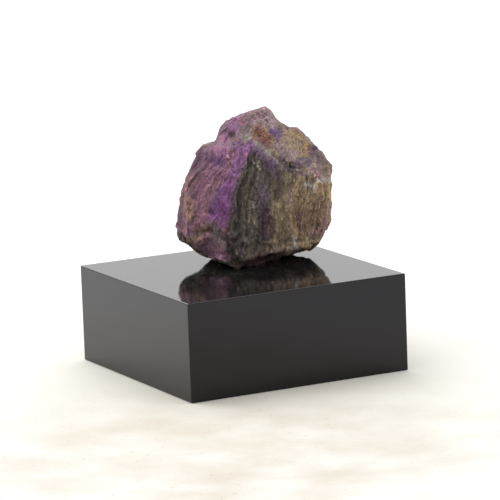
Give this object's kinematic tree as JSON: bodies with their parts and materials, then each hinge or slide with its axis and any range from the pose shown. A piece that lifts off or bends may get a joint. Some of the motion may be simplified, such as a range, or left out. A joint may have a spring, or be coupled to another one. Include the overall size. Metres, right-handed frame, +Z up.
{
  "type": "purpurite specimen on a display block",
  "caption": "Rough violet-brown mineral lump with layered, fibrous and grainy broken faces, standing on a square polished black display block.",
  "frame": {"origin": "middle of the display block's underside", "axes": "+Z up; the block's wide front in the picture faces -Y and its narrow left side faces -X; the stone stands on its top"},
  "size_m": [0.05, 0.05, 0.0524],
  "materials": {
    "purpurite": "rough broken mineral: dull violet plates, brown fibres and dusty pink grains, with fine silvery flecks",
    "black_acrylic": "polished black acrylic with a mirror-like top, finely dusty"
  },
  "bodies": {
    "root": {"purpurite": "purpurite", "display_block": "black_acrylic"}
  },
  "joints": []
}
